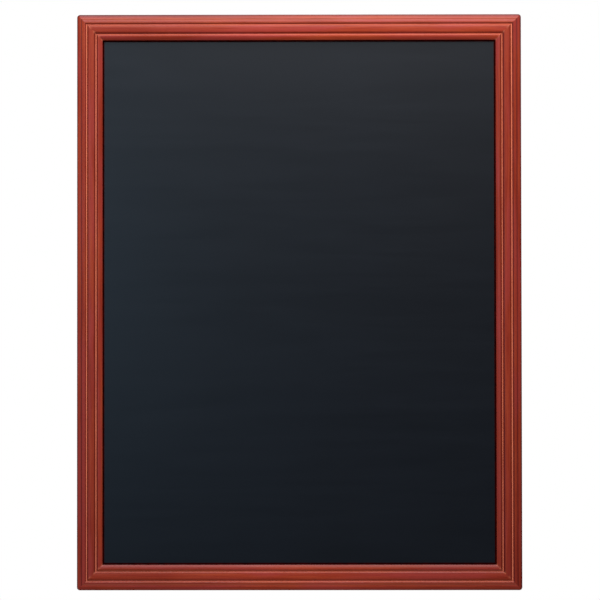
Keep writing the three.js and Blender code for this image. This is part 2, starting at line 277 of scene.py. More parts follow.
class Graph:
    """One material's node tree, with a short method for each kind of node that the finishes use."""

    def __init__(self, tree: bpy.types.NodeTree) -> None:
        """Empties a node tree to build in.

        Args:
            tree: the node tree of a material or the world.
        """
        self.tree = tree
        self.nodes = tree.nodes
        self.nodes.clear()

    def link(self, value: Value | Sequence[float], socket: Socket) -> None:
        """Feeds a socket from another socket, or sets its plain value.

        Args:
            value: the other socket, or the plain value.
            socket: the socket to feed.
        """
        if isinstance(value, bpy.types.NodeSocket):
            self.tree.links.new(value, socket)
        elif isinstance(value, tuple) and len(value) == 3 and socket.type == "RGBA":
            socket.default_value = (*value, 1.0)
        else:
            socket.default_value = value

    def add(self, kind: str, **inputs: Value | Sequence[float]) -> bpy.types.Node:
        """Adds a node and feeds its inputs, which are named with underscores for spaces.

        Args:
            kind: the shader node's type, without the words that all of them start with.
            inputs: each input's socket or plain value.

        Returns:
            The node.
        """
        node = self.nodes.new(f"ShaderNode{kind}")
        for name, value in inputs.items():
            self.link(value, node.inputs[name.replace("_", " ")])
        return node

    def point(self, scale: float | Sequence[float] = 1.0, shift: Sequence[float] = (0, 0, 0)) -> Socket:
        """Gives the surface point in the object's own frame, scaled and then shifted.

        Args:
            scale: one factor, or one for each axis.
            shift: what is added after that.

        Returns:
            The point's socket.
        """
        scale = (scale,) * 3 if isinstance(scale, float) else scale
        place = self.add("TexCoord").outputs["Object"]
        return self.add("Mapping", Vector=place, Scale=scale, Location=shift).outputs["Vector"]

    def split(self, vector: Socket) -> tuple[Socket, ...]:
        """Splits a vector into its three parts."""
        return tuple(self.add("SeparateXYZ", Vector=vector).outputs)

    def noise(self, layer: Layer, grain: Grain | None = None) -> Socket:
        """Gives a layer of noise from 0 to 1, stretched along a grain where there is one.

        Args:
            layer: the layer.
            grain: the fibres' axis, where the cycles follow a grain.

        Returns:
            The value's socket.
        """
        cycles = grain.stretch(*layer.cycles) if grain else layer.cycles
        node = self.add("TexNoise", Vector=self.point(cycles, layer.shift), Scale=1.0, Detail=layer.detail,
                        Roughness=layer.roughness, Distortion=layer.swirl)
        return node.outputs["Fac"]

    def cells(self, cycles: float) -> Socket:
        """Gives one random value from 0 to 1 for each cell of a crystal pattern."""
        node = self.add("TexVoronoi", Vector=self.point(cycles), Scale=1.0)
        return self.split(node.outputs["Color"])[0]

    def attribute(self, name: str) -> Socket:
        """Gives a value that is kept on the mesh's points.

        Args:
            name: the attribute's name.

        Returns:
            The value's socket.
        """
        node = self.add("Attribute")
        node.attribute_name = name
        return node.outputs["Fac"]

    def maths(self, kind: str, *values: Value) -> Socket:
        """Gives the result of one arithmetic step on its values.

        Args:
            kind: the step, by its name in the node.
            values: its values, in order.

        Returns:
            The result's socket.
        """
        node = self.add("Math")
        node.operation = kind
        for value, socket in zip(values, node.inputs):
            self.link(value, socket)
        return node.outputs[0]

    def blend_of(self, shares: Sequence[float], *values: Socket) -> Socket:
        """Adds values up, each times its share.

        Args:
            shares: each value's share.
            values: the values.

        Returns:
            The sum's socket.
        """
        total = self.maths("MULTIPLY", values[0], shares[0])
        for share, value in zip(shares[1:], values[1:]):
            total = self.maths("MULTIPLY_ADD", value, share, total)
        return total

    def span(self, value: Value, low: float, high: float, to_low: float = 0.0, to_high: float = 1.0) -> Socket:
        """Carries a value from one range to another with soft ends, and holds it there.

        Args:
            value: the value.
            low: the first range's start.
            high: its end.
            to_low: the second range's start.
            to_high: its end.

        Returns:
            The new value's socket.
        """
        node = self.add("MapRange", Value=value, From_Min=low, From_Max=high, To_Min=to_low, To_Max=to_high)
        node.interpolation_type = "SMOOTHSTEP"
        return node.outputs["Result"]

    def ramp(self, value: Socket, *stops: tuple[float, Colour]) -> Socket:
        """Turns a value from 0 to 1 into a colour between the stops.

        Args:
            value: the value.
            stops: each stop's place and colour, in order.

        Returns:
            The colour's socket.
        """
        node = self.add("ValToRGB", Fac=value)
        elements = node.color_ramp.elements
        while len(elements) < len(stops):
            elements.new(1.0)
        for element, (place, colour) in zip(elements, stops):
            element.position = place
            element.color = (*colour, 1.0)
        return node.outputs["Color"]

    def mix(self, factor: Value, first: Socket | Colour, second: Socket | Colour, kind: str = "MIX") -> Socket:
        """Blends two colours by a factor from 0 to 1.

        Args:
            factor: the second colour's share.
            first: the first colour.
            second: the second colour.
            kind: the way that they blend.

        Returns:
            The blended colour's socket.
        """
        node = self.add("Mix")
        node.data_type = "RGBA"
        node.blend_type = kind
        self.link(factor, node.inputs["Factor"])
        self.link(first, node.inputs[MIX_FIRST])
        self.link(second, node.inputs[MIX_SECOND])
        return node.outputs[MIX_RESULT]

    def bump(self, height: Socket, distance: float) -> Socket:
        """Gives the normal of a relief from 0 to 1 in which 1 stands proud of 0 by a distance in metres."""
        return self.add("Bump", Height=height, Distance=distance, Strength=1.0).outputs["Normal"]


class Finish(Graph):
    """A material that ends in one principled shader."""

    def __init__(self, name: str) -> None:
        """Makes an empty material of that name.

        Args:
            name: the material's name.
        """
        self.material = bpy.data.materials.new(name)
        self.material.use_nodes = True
        super().__init__(self.material.node_tree)

    def surface(self, **inputs: Value | Sequence[float]) -> bpy.types.Material:
        """Closes the tree with the shader and its inputs."""
        self.add("OutputMaterial", Surface=self.add("BsdfPrincipled", **inputs).outputs[0])
        return self.material


# In the finishes, a span is a value's lowest and highest level and, where they aren't 0 and 1, what these
# become. A relief height is in metres.


@dataclass(frozen=True)
class StainedWood:
    """Straight-grained wood under a red-brown stain that gathers in the grooves, with painted shade and painted
    highlights along the grooves and edges, and a satin lacquer.
    """

    slot: str = "stained_wood"
    deep: Colour = (0.215, 0.014, 0.004)
    body: Colour = (0.290, 0.027, 0.0075)
    pale: Colour = (0.360, 0.046, 0.0115)
    rosy: Colour = (0.305, 0.029, 0.022)
    # a dark colour for stain in the grooves and for painted shade
    pooled_and_shaded: Colour = (0.095, 0.0025, 0.0012)
    # the colour of the painted highlights along the grooves and mitres
    painted_highlight: Colour = (0.740, 0.205, 0.105)
    pores: Colour = (0.72, 0.56, 0.50)
    bare_deep: Colour = (0.34, 0.17, 0.085)
    bare_pale: Colour = (0.52, 0.33, 0.19)
    patches: Layer = Layer((4.0, 30.0))
    rings: Layer = Layer((5.0, 210.0), 3.0, 0.55, 0.4, (3.1, 5.7, 1.3))
    fibres: Layer = Layer((18.0, 1100.0), 3.0, 0.6)
    vessels: Layer = Layer((95.0, 2300.0), 1.0, shift=(1.0, 8.0, 2.0))
    hues: Layer = Layer((6.0, 55.0), shift=(9.0, 2.0, 4.0))
    tone_shares: tuple[float, ...] = (0.25, 0.40, 0.35)
    tone_span: Pair = (0.34, 0.68)
    body_tone: float = 0.48
    rosy_span: tuple[float, ...] = (0.44, 0.62, 0.0, 0.75)
    rail_gain: float = 1.2
    pore_span: Pair = (0.60, 0.70)
    pore_share: float = 0.6
    # how the painted highlights' strength follows the fibres
    highlight_span: tuple[float, ...] = (0.35, 0.6, 0.6, 1.0)
    smudge_span: tuple[float, ...] = (0.42, 0.62, 0.25, 0.7)
    relief_shares: tuple[float, ...] = (0.5, -0.7, 0.3)
    relief_height: float = 0.00003
    roughness_span: tuple[float, ...] = (0.35, 0.65, 0.42, 0.54)
    bare_roughness: float = 0.3
    gloss: float = 0.24
    lacquer: float = 0.06
    lacquer_roughness: float = 0.26

    def material(self, grain: Grain) -> bpy.types.Material:
        """Makes the finish for wood whose fibres run along one axis.

        Args:
            grain: the axis of the fibres.

        Returns:
            The material. It reads the mesh's stain attribute, which holds stain in the grooves together with
            painted shade, its painted highlight attribute and its bare attribute.
        """
        made = Finish(f"{self.slot}_{grain.name.lower()}")
        patches, rings, fibres = (made.noise(layer, grain) for layer in (self.patches, self.rings, self.fibres))
        tone = made.span(made.blend_of(self.tone_shares, patches, rings, fibres), *self.tone_span)
        wood_colour = made.ramp(tone, (0.0, self.deep), (self.body_tone, self.body), (1.0, self.pale))
        wood_colour = made.mix(made.span(made.noise(self.hues, grain), *self.rosy_span), wood_colour, self.rosy)
        gain = self.rail_gain if grain is Grain.ALONG_X else 1.0
        wood_colour = made.mix(1.0, wood_colour, (gain, gain, gain), "MULTIPLY")
        pore = made.span(made.noise(self.vessels, grain), *self.pore_span)
        wood_colour = made.mix(made.maths("MULTIPLY", pore, self.pore_share), wood_colour, self.pores, "MULTIPLY")
        # darkening by the stain attribute: stain in the grooves together with painted shade
        wood_colour = made.mix(made.attribute("stain"), wood_colour, self.pooled_and_shaded)
        # painted highlights, lighter along the grooves and the mitres, broken up by the fibres
        thin = made.maths("MULTIPLY", made.attribute("painted_highlight"), made.span(fibres, *self.highlight_span))
        wood_colour = made.mix(thin, wood_colour, self.painted_highlight)
        bare = made.attribute("bare")
        raw = made.ramp(tone, (0.0, self.bare_deep), (1.0, self.bare_pale))
        raw = made.mix(made.span(patches, *self.smudge_span), raw, self.body)
        relief = made.blend_of(self.relief_shares, fibres, pore, rings)
        dry = made.maths("MULTIPLY", bare, self.bare_roughness)
        return made.surface(
            Base_Color=made.mix(bare, wood_colour, raw),
            Roughness=made.maths("ADD", made.span(fibres, *self.roughness_span), dry),
            Specular_IOR_Level=self.gloss,
            Coat_Weight=made.span(bare, 0.0, 1.0, self.lacquer, 0.0),
            Coat_Roughness=self.lacquer_roughness,
            Normal=made.bump(relief, self.relief_height),
        )


@dataclass(frozen=True)
class BlackFacing:
    """The satin black writing surface, with faint cloudy wiping and a very fine tooth."""

    slot: str = "black_facing"
    deep: Colour = (0.0008, 0.0023, 0.0062)
    pale: Colour = (0.0015, 0.0037, 0.0088)
    clouds: Layer = Layer((2.2, 2.2, 1.5), 3.0, 0.55, 0.6)
    wipes: Layer = Layer((3.0, 3.0, 34.0), 3.0, 0.6, 0.8, (4.0, 1.0, 7.0))
    tooth: Layer = Layer(1700.0, 2.0, 0.6)
    tone_shares: tuple[float, ...] = (0.55, 0.3, 0.15)
    tone_span: Pair = (0.36, 0.64)
    roughness: float = 0.40
    painted_highlight_roughness: float = 0.06
    gloss: float = 0.55
    relief_height: float = 0.00001

    def material(self) -> bpy.types.Material:
        """Makes the finish.

        Returns:
            The material.
        """
        made = Finish(self.slot)
        clouds, wipes, tooth = (made.noise(layer) for layer in (self.clouds, self.wipes, self.tooth))
        tone = made.span(made.blend_of(self.tone_shares, clouds, wipes, tooth), *self.tone_span)
        return made.surface(
            Base_Color=made.ramp(tone, (0.0, self.deep), (1.0, self.pale)),
            Roughness=made.maths("MULTIPLY_ADD", wipes, self.painted_highlight_roughness, self.roughness),
            Specular_IOR_Level=self.gloss,
            Normal=made.bump(tooth, self.relief_height),
        )


@dataclass(frozen=True)
class PaintedShadowLine:
    """A painted shadow: a dull, nearly black red strip on the facing along the lip, where the lip shades it."""

    slot: str = "black_facing"
    deep: Colour = (0.0130, 0.0003, 0.0002)
    red: Colour = (0.0310, 0.0008, 0.0005)
    blots: Layer = Layer(90.0, 3.0, 0.6)
    tone_span: Pair = (0.35, 0.65)
    roughness_span: tuple[float, ...] = (0.3, 0.7, 0.8, 0.95)

    def material(self) -> bpy.types.Material:
        """Makes the finish.

        Returns:
            The material.
        """
        made = Finish("painted_shadow_line")
        blots = made.noise(self.blots)
        return made.surface(
            Base_Color=made.ramp(made.span(blots, *self.tone_span), (0.0, self.deep), (1.0, self.red)),
            Roughness=made.span(blots, *self.roughness_span),
            Specular_IOR_Level=0.0,
        )


@dataclass(frozen=True)
class Hardboard:
    """Pressed wood fibre: brown, with flecks of fibre and the faint weave of the press's screen."""

    slot: str = "hardboard"
    deep: Colour = (0.105, 0.050, 0.024)
    pale: Colour = (0.215, 0.118, 0.060)
    clouds: Layer = Layer(7.0, 3.0, 0.6)
    fibres: Layer = Layer(260.0, 3.0, 0.7, 1.6)
    flecks: Layer = Layer((900.0, 900.0, 420.0), 2.0, 0.6)
    screen_pitch: float = 1.6
    tone_shares: tuple[float, ...] = (0.22, 0.45, 0.33, 0.03)
    tone_span: Pair = (0.36, 0.66)
    roughness_span: tuple[float, ...] = (0.3, 0.7, 0.62, 0.84)
    relief_shares: tuple[float, ...] = (0.5, 0.3, 0.35)
    relief_height: float = 0.00012

    def material(self) -> bpy.types.Material:
        """Makes the finish. The weave is sin(2 pi x / p) sin(2 pi z / p), p being the screen's pitch.

        Returns:
            The material.
        """
        made = Finish(self.slot)
        clouds, fibres, flecks = (made.noise(layer) for layer in (self.clouds, self.fibres, self.flecks))
        across, _, up = made.split(made.point(2.0 * np.pi / (self.screen_pitch * MM)))
        weave = made.maths("MULTIPLY", made.maths("SINE", across), made.maths("SINE", up))
        tone = made.span(made.blend_of(self.tone_shares, clouds, fibres, flecks, weave), *self.tone_span)
        relief = made.blend_of(self.relief_shares, fibres, flecks, weave)
        return made.surface(
            Base_Color=made.ramp(tone, (0.0, self.deep), (1.0, self.pale)),
            Roughness=made.span(fibres, *self.roughness_span),
            Normal=made.bump(relief, self.relief_height),
        )


@dataclass(frozen=True)
class PlatedSteel:
    """Bright steel with fine drawn scratches, a crystal-like spangle and dull spots."""

    slot: str
    deep: Colour
    pale: Colour
    spangle: float
    roughness: float
    crystals: float = 950.0
    clouds: Layer = Layer(160.0, 3.0, 0.6)
    scratches: Layer = Layer((900.0, 900.0, 6000.0), 2.0, 0.7)
    tone_span: Pair = (0.25, 0.75)
    dull_shares: tuple[float, ...] = (0.5, 0.3, 0.2)
    dull_span: Pair = (0.3, 0.7)
    dullness: Pair = (-0.08, 0.14)
    relief_height: float = 0.000008

    def material(self) -> bpy.types.Material:
        """Makes the finish.

        Returns:
            The material.
        """
        made = Finish(self.slot)
        spangle = made.cells(self.crystals)
        clouds, scratches = made.noise(self.clouds), made.noise(self.scratches)
        tone = made.span(made.blend_of((self.spangle, 1.0 - self.spangle), spangle, clouds), *self.tone_span)
        dull = made.blend_of(self.dull_shares, clouds, scratches, spangle)
        return made.surface(
            Base_Color=made.ramp(tone, (0.0, self.deep), (1.0, self.pale)),
            Metallic=1.0,
            Roughness=made.span(dull, *self.dull_span, *(self.roughness + change for change in self.dullness)),
            Normal=made.bump(scratches, self.relief_height),
        )


@dataclass(frozen=True)
class BumperRubber:
    """Dark, dull rubber with a moulded grain and a little dust."""

    slot: str = "bumper_rubber"
    deep: Colour = (0.016, 0.016, 0.017)
    dusty: Colour = (0.048, 0.046, 0.043)
    grain: Layer = Layer(1500.0, 2.0, 0.6)
    dust: Layer = Layer(220.0, 4.0, 0.65)
    dust_span: Pair = (0.4, 0.7)
    roughness_span: tuple[float, ...] = (0.3, 0.7, 0.62, 0.82)
    relief_height: float = 0.00003

    def material(self) -> bpy.types.Material:
        """Makes the finish.

        Returns:
            The material.
        """
        made = Finish(self.slot)
        dust = made.noise(self.dust)
        return made.surface(
            Base_Color=made.ramp(made.span(dust, *self.dust_span), (0.0, self.deep), (1.0, self.dusty)),
            Roughness=made.span(dust, *self.roughness_span),
            Normal=made.bump(made.noise(self.grain), self.relief_height),
        )


@dataclass(frozen=True)
class PaleFloor:
    """A pale matt floor that fades into the white surround, and only the camera sees, from above."""

    deep: Colour = (0.88, 0.88, 0.88)
    pale: Colour = (0.96, 0.96, 0.96)
    grain: Layer = Layer(60.0, 3.0)
    roughness: float = 0.8
    fade: Pair = (0.75, 1.55)

    def material(self, centre: float) -> bpy.types.Material:
        """Makes the finish, which fades with the distance from a centre at some depth.

        Args:
            centre: the y of the floor's middle.

        Returns:
            The material.
        """
        made = Finish("pale_floor")
        across, depth, _ = made.split(made.point(shift=(0.0, -centre, 0.0)))
        squares = (made.maths("POWER", part, 2.0) for part in (across, depth))
        solid = made.span(made.maths("SQRT", made.maths("ADD", *squares)), *self.fade, 1.0, 0.0)
        facing = made.maths("SUBTRACT", 1.0, made.add("NewGeometry").outputs["Backfacing"])
        seen = made.add("LightPath").outputs["Is Camera Ray"]
        return made.surface(
            Base_Color=made.ramp(made.noise(self.grain), (0.0, self.deep), (1.0, self.pale)),
            Roughness=self.roughness,
            Alpha=made.maths("MULTIPLY", made.maths("MULTIPLY", solid, facing), seen),
        )


WOOD = StainedWood()
FACING = BlackFacing()
SHADOW_LINE = PaintedShadowLine()
BOARD = Hardboard()
SPRING = PlatedSteel("spring_steel", (0.30, 0.30, 0.31), (0.52, 0.52, 0.53), 0.15, 0.34)
ZINC = PlatedSteel("zinc_plate", (0.55, 0.57, 0.58), (0.80, 0.81, 0.80), 0.32, 0.30)
RUBBER = BumperRubber()
FLOOR = PaleFloor()


@dataclass
class Skin:
    """A closed skin through rings of points, the rings in order along it and each end closed by a flat face.

    The points are millimetres, in an array of rings by points by axes.
    """

    rings: np.ndarray
    crease: float = 40.0

    def faces(self) -> list[list[int]]:
        """Joins each ring to the next and closes both ends.

        Returns:
            The faces, turned outwards: their signed volume, the sum of a.(b x c) over a fan of each, is
            positive.
        """
        count, around = self.rings.shape[:2]
        quads = quads_between(count, around)
        first = np.arange(around)[::-1]
        last = (count - 1) * around + np.arange(around)
        points = self.rings.reshape(-1, 3)
        volume = 0.0
        for fan in (quads, first[None, :], last[None, :]):
            volume += np.sum(points[fan[:, :1]] * np.cross(points[fan[:, 1:-1]], points[fan[:, 2:]]))
        if volume < 0.0:
            quads, first, last = quads[:, ::-1], first[::-1], last[::-1]
        return [*quads.tolist(), first.tolist(), last.tolist()]

    def build(self, name: str, **attributes: np.ndarray) -> bpy.types.Object:
        """Makes the object, smooth along its skin and creased where faces meet at more than the crease angle.

        Args:
            name: the piece's name.
            attributes: values kept on the points, each an array of rings by points.

        Returns:
            The object, at the origin.
        """
        mesh = bpy.data.meshes.new(name)
        mesh.from_pydata((self.rings.reshape(-1, 3) * MM).tolist(), [], self.faces())
        mesh.polygons.foreach_set("use_smooth", np.ones(len(mesh.polygons), dtype=bool))
        mesh.set_sharp_from_angle(angle=np.radians(self.crease))
        for label, values in attributes.items():
            kept = mesh.attributes.new(label, "FLOAT", "POINT")
            kept.data.foreach_set("value", np.ascontiguousarray(values, dtype=np.float32).ravel())
        mesh.validate()
        mesh.update()
        return put(name, mesh)


def plate(outline: np.ndarray, near: float, far: float, edge: float) -> Skin:
    """Makes a flat plate from a closed outline in the board's plane, thick along Y, with eased edges.

    Args:
        outline: the plate's plan as (x, z) points.
        near: the y of its first face.
        far: the y of its second face.
        edge: how far the edges are eased.

    Returns:
        The skin: the outline, and the outline drawn in by the easing, at four depths.
    """
    drawn_in = inset(outline, edge)
    levels = ((drawn_in, near), (outline, near + edge), (outline, far - edge), (drawn_in, far))
    return Skin(np.stack([np.column_stack([plan[:, 0], np.full(len(plan), y), plan[:, 1]])
                          for plan, y in levels]))


def turned(profile: np.ndarray, centre: Sequence[float], around: int) -> Skin:
    """Turns a profile about an axis along Y: (radius, height) goes to centre + (r cos t, height, r sin t).

    Args:
        profile: the (radius, height) points.
        centre: the point that the heights start from.
        around: the number of points in each ring.

    Returns:
        The skin.
    """
    t = full_turn(around)
    radius, height = profile[:, :1], profile[:, 1:]
    rings = np.stack([radius * np.cos(t), height + 0.0 * t, radius * np.sin(t)], axis=-1)
    return Skin(rings + np.asarray(centre))


def wire(path: np.ndarray, level: float, radius: float, around: int, end: float = 0.75) -> Skin:
    """Carries a circle along a flat path: each point gets p + r (n cos t + Y sin t), n square to the path.

    Args:
        path: the (x, z) points of the wire's middle line.
        level: its y.
        radius: the wire's radius.
        around: the number of points in each ring.
        end: the share of the radius that is left at both ends.

    Returns:
        The skin.
    """
    radii = np.full(len(path), radius)
    radii[[0, -1]] *= end
    t = full_turn(around)
    flat = path[:, None, :] + square_to(path)[:, None, :] * (radii[:, None] * np.cos(t))[..., None]
    return Skin(np.stack([flat[..., 0], level + radii[:, None] * np.sin(t), flat[..., 1]], axis=-1))


def dress(piece: bpy.types.Object, body: str, material: bpy.types.Material, slot: str, *nodes: str) -> None:
    """Finishes a piece: its material, the body that it rides on, and the nodes that it stands for.

    Args:
        piece: the piece.
        body: the body's name.
        material: the material.
        slot: the record's slot that the finish belongs to; not used.
        nodes: the nodes that it replaces, if any.
    """
    piece.data.materials.append(material)
    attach(piece, body)
    if nodes:
        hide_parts(*nodes)
    log.info("%s: %d points on %s", piece.name, len(piece.data.vertices), body)


class Channel(Enum):
    """The three hollows that run along the moulding, from the outer edge inwards."""

    QUIRK = 0
    OUTER = 1
    INNER = 2


@dataclass(frozen=True)
class Streak:
    """A line along the moulding: in the darkening lists, stain in a groove together with painted shade; in the
    lightening lists, a painted highlight.

    Its middle is a shift inwards from a channel's middle and it fades over a reach, both in millimetres. Its
    share is its strength.
    """

    channel: Channel
    shift: float
    reach: float
    share: float

    def over(self, across: np.ndarray, middles: Sequence[float], flatness: int) -> np.ndarray:
        """Gives share exp(-|(w - middle - shift) / reach|^flatness) at each distance w from the outer edge."""
        away = (across - middles[self.channel.value] - self.shift) / self.reach
        return self.share * np.exp(-np.abs(away) ** flatness)


@dataclass(frozen=True)
class SideStainAndLight:
    """How the stain was left on one side of the frame.

    The sight edge has a share of painted shade, and the outer edge a share of stain and painted shade with a
    reach inwards. The shade is the painted shade's share at the side's two ends, as it would lie along the
    top, left end first.
    """

    gathered: tuple[Streak, ...]
    thinned: tuple[Streak, ...]
    sight: float
    edge: float
    edge_reach: float
    shade: Pair


QUIRK, OUTER, INNER = Channel
# For each side: darkening streaks of stain with painted shade, painted highlight streaks, painted shade at the
# sight edge, stain with painted shade at the outer edge, and painted shade towards the ends.
SIDE_STAIN_AND_LIGHT = {
    Side.TOP: SideStainAndLight(
        gathered=(Streak(INNER, -1.6, 0.8, 0.15), Streak(INNER, -0.2, 0.7, 0.4)),
        thinned=(Streak(QUIRK, -0.4, 1.3, 0.3), Streak(OUTER, -2.4, 0.9, 0.25), Streak(OUTER, 0.9, 0.9, 0.35),
                 Streak(INNER, 1.5, 0.7, 0.42)),
        sight=0.0, edge=0.8, edge_reach=4.4, shade=(0.27, 0.04),
    ),
    Side.RIGHT: SideStainAndLight(
        gathered=(Streak(QUIRK, -0.2, 0.9, 0.85), Streak(OUTER, -2.2, 0.9, 1.0), Streak(OUTER, 2.4, 0.8, 0.6),
                  Streak(INNER, -2.2, 1.0, 1.0), Streak(INNER, 2.4, 1.1, 0.6), Streak(INNER, 7.5, 2.4, 0.14)),
        thinned=(Streak(OUTER, 0.0, 0.75, 1.0), Streak(INNER, 0.2, 0.6, 1.0)),
        sight=0.6, edge=0.9, edge_reach=3.4, shade=(0.0, 0.15),
    ),
    Side.BOTTOM: SideStainAndLight(
        gathered=(Streak(OUTER, -3.0, 0.6, 0.45), Streak(INNER, -3.2, 1.2, 0.22),
                  Streak(INNER, 6.3, 2.6, 0.22)),
        thinned=(Streak(QUIRK, 2.2, 1.4, 0.2), Streak(OUTER, -1.7, 0.6, 0.3), Streak(OUTER, 0.4, 1.3, 0.22),
                 Streak(INNER, -1.2, 0.6, 0.25), Streak(INNER, 0.9, 1.5, 0.28)),
        sight=1.0, edge=0.15, edge_reach=2.4, shade=(0.22, 0.22),
    ),
    Side.LEFT: SideStainAndLight(
        gathered=(Streak(QUIRK, 0.0, 0.85, 0.95), Streak(OUTER, -1.9, 0.7, 0.5), Streak(OUTER, 2.0, 0.75, 0.9),
                  Streak(INNER, -2.3, 0.75, 0.85), Streak(INNER, 1.9, 0.8, 1.0)),
        thinned=(Streak(OUTER, 0.0, 0.65, 1.0), Streak(INNER, -0.1, 0.7, 0.95)),
        sight=0.4, edge=0.95, edge_reach=2.2, shade=(0.1, 0.0),
    ),
}
# painted highlights along the mitres
HIGHLIGHTS_AT_MITRES = (
    Streak(OUTER, 4.8, 1.6, 0.35), Streak(INNER, -3.0, 1.3, 0.45),
    Streak(INNER, 4.4, 1.7, 0.35), Streak(INNER, 9.0, 1.2, 0.45),
)


@dataclass(frozen=True)
class Moulding:
    """The frame's reeded section: across is the distance from the outer edge, height the one above the back."""

    width: float = 40.0
    shoulder_width: float = 6.4
    quirk_width: float = 1.6
    ridge_width: float = 5.2
    groove_width: float = 4.0
    bead_width: float = 8.0
    shoulder_height: float = 17.2
    shoulder_drop: float = 3.7
    ridge_height: float = 17.05
    band_height: float = 17.9
    quirk_depth: float = 0.18
    groove_depth: float = 1.5
    groove_floor: float = 1.0
    middle_crown: float = 0.9
    sight_height: float = 15.7
    shoulder_rise: float = 1.7
    shoulder_run: float = 5.4
    shoulder_climb: float = 1.7
    ridge_run: float = 1.6
    ridge_climb: float = 0.5
    ridge_roll: float = 1.3
    ridge_rise: float = 1.0
    middle_roll: float = 1.6
    bead_roll: float = 1.6
    bead_rise: float = 1.4
    sight_roll: float = 3.2
    sight_fall: float = 2.2
    rabbet_width: float = 8.0
    rabbet_depth: float = 12.4
    softness: float = 0.22
    sampling: float = 0.05
    turn_step: float = 6.0
    length_step: float = 1.5

    @property
    def middles(self) -> tuple[float, float, float]:
        """Gives the channels' middles, in the order of their names.

        Returns:
            The distances of the quirk, the outer groove and the inner groove from the outer edge.
        """
        ridge = self.shoulder_width + self.quirk_width
        outer = ridge + self.ridge_width + self.groove_width / 2
        inner = self.width - self.bead_width - self.groove_width / 2
        return self.shoulder_width + self.quirk_width / 2, outer, inner

    @property
    def rabbet_wall(self) -> float:
        """Gives how far the rabbet's wall is from the outer edge."""
        return self.width - self.rabbet_width

    def groove(self, middle: float) -> np.ndarray:
        """Gives a groove with straight sloping walls and a narrow floor, by its corners.

        Args:
            middle: the distance of its middle from the outer edge.

        Returns:
            Its four corners.
        """
        half, floor = self.groove_width / 2, self.groove_floor / 2
        low = self.band_height - self.groove_depth
        return np.array([(middle - half, self.band_height), (middle - floor, low),
                         (middle + floor, low), (middle + half, self.band_height)])

    def corners(self) -> np.ndarray:
        """Lists the section's corners and curves once round, from the back's outer corner.

        Returns:
            The (across, height) points.
        """
        quirk, outer, inner = self.middles
        half, level, sight, wall = self.groove_width / 2, self.band_height, self.width, self.rabbet_wall
        start = self.shoulder_height - self.shoulder_drop
        shoulder = (self.shoulder_width, self.shoulder_height)
        ridge = self.shoulder_width + self.quirk_width
        bead = sight - self.bead_width
        pull = level + self.middle_crown * 4.0 / 3.0  # a cubic rises to 3/4 of the height that pulls it
        return np.vstack([
            (0.0, 0.0),
            curve((0.0, start), (0.0, start + self.shoulder_rise),
                  (shoulder[0] - self.shoulder_run, shoulder[1] - self.shoulder_climb), shoulder),
            (quirk, self.shoulder_height - self.quirk_depth),
            curve((ridge, self.ridge_height), (ridge + self.ridge_run, self.ridge_height + self.ridge_climb),
                  (outer - half - self.ridge_roll, level + self.ridge_rise), (outer - half, level)),
            self.groove(outer),
            curve((outer + half, level), (outer + half + self.middle_roll, pull),
                  (inner - half - self.middle_roll, pull), (inner - half, level)),
            self.groove(inner),
            curve((bead, level), (bead + self.bead_roll, level + self.bead_rise),
                  (sight - self.sight_roll, self.sight_height + self.sight_fall), (sight, self.sight_height)),
            (sight, self.rabbet_depth),
            (wall, self.rabbet_depth),
            (wall, 0.0),
        ])

    def outline(self) -> np.ndarray:
        """Eases every corner as sanding does and spreads points where the outline turns.

        The corners are joined by even short steps, each coordinate is blurred round the loop by a bell curve
        of the softness, and points are then kept wherever the turn since the last one, or the distance, adds
        up to a whole step.

        Returns:
            The closed outline as (across, height) points.
        """
        corners = self.corners()
        loop = np.vstack([corners, corners[:1]])
        count = int(lengths_along(loop)[-1] / self.sampling)
        fine = spread_evenly(loop, count + 1)[:-1]
        waves = np.fft.fftfreq(count, self.sampling)[:, None]
        blur = np.exp(-2.0 * (np.pi * waves * self.softness) ** 2)
        fine = np.fft.ifft(np.fft.fft(fine, axis=0) * blur, axis=0).real
        step = np.roll(fine, -1, axis=0) - fine
        heading = np.unwrap(np.arctan2(step[:, 1], step[:, 0]))
        turn = np.abs(np.degrees(np.roll(heading, -1) - heading))
        turn[-1] = 0.0
        cost = np.cumsum(turn / self.turn_step + self.sampling / self.length_step)
        picks = np.linspace(0.0, cost[-1], int(cost[-1]), endpoint=False)
        return np.column_stack([np.interp(picks, cost, fine[:, axis]) for axis in range(2)])


MOULDING = Moulding()


